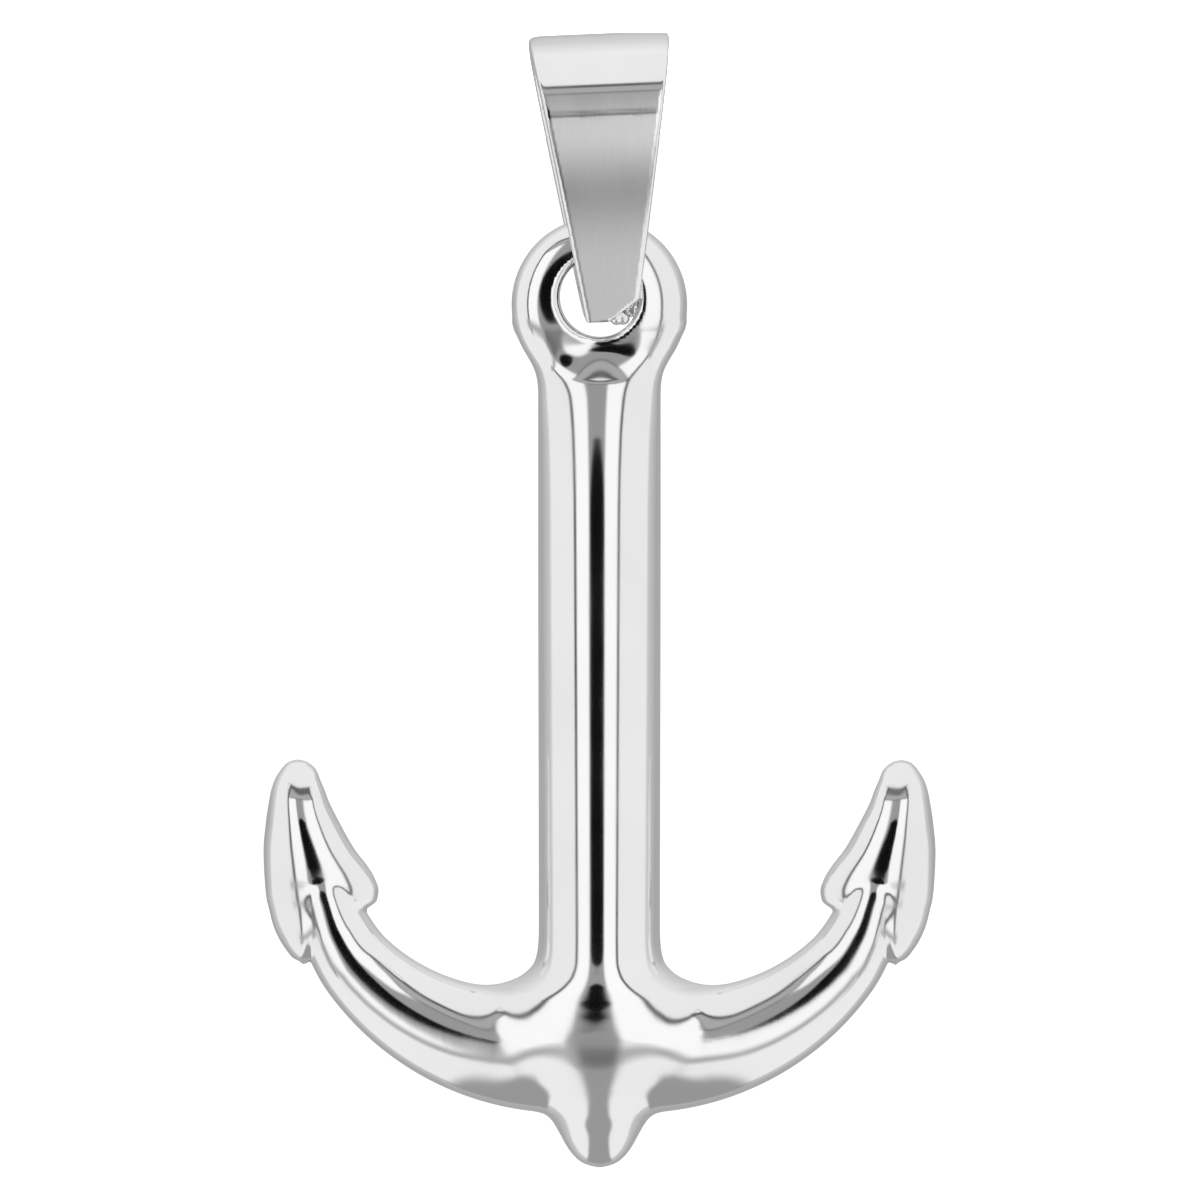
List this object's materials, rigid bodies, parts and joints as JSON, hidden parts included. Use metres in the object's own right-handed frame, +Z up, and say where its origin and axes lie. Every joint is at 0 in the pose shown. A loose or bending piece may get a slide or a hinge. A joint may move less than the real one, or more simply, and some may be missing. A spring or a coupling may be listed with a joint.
{
  "type": "anchor pendant",
  "caption": "Polished silver anchor pendant with pointed crown and barbed flukes, hanging by a round eye from a tapered strip bail.",
  "frame": {"origin": "chain seat: the inner top of the bail's bend, where a chain passes through", "axes": "+Z up along the pendant, X across it and along the chain's way through the bail, the front faces -Y"},
  "size_m": [0.0202, 0.0042, 0.034],
  "materials": {
    "cast_silver": "high mirror polish over a cast form",
    "sheet_silver": "mirror polish with rounded, brighter edges"
  },
  "bodies": {
    "bail": {"bail": "sheet_silver"},
    "anchor": {"anchor": "cast_silver"}
  },
  "joints": [
    {"name": "side_swing", "type": "hinge", "parent": "bail", "child": "anchor", "pos_m": [0, 0, -0.00722], "axis": [0, 1, 0], "range_deg": [-90, 90]}
  ]
}
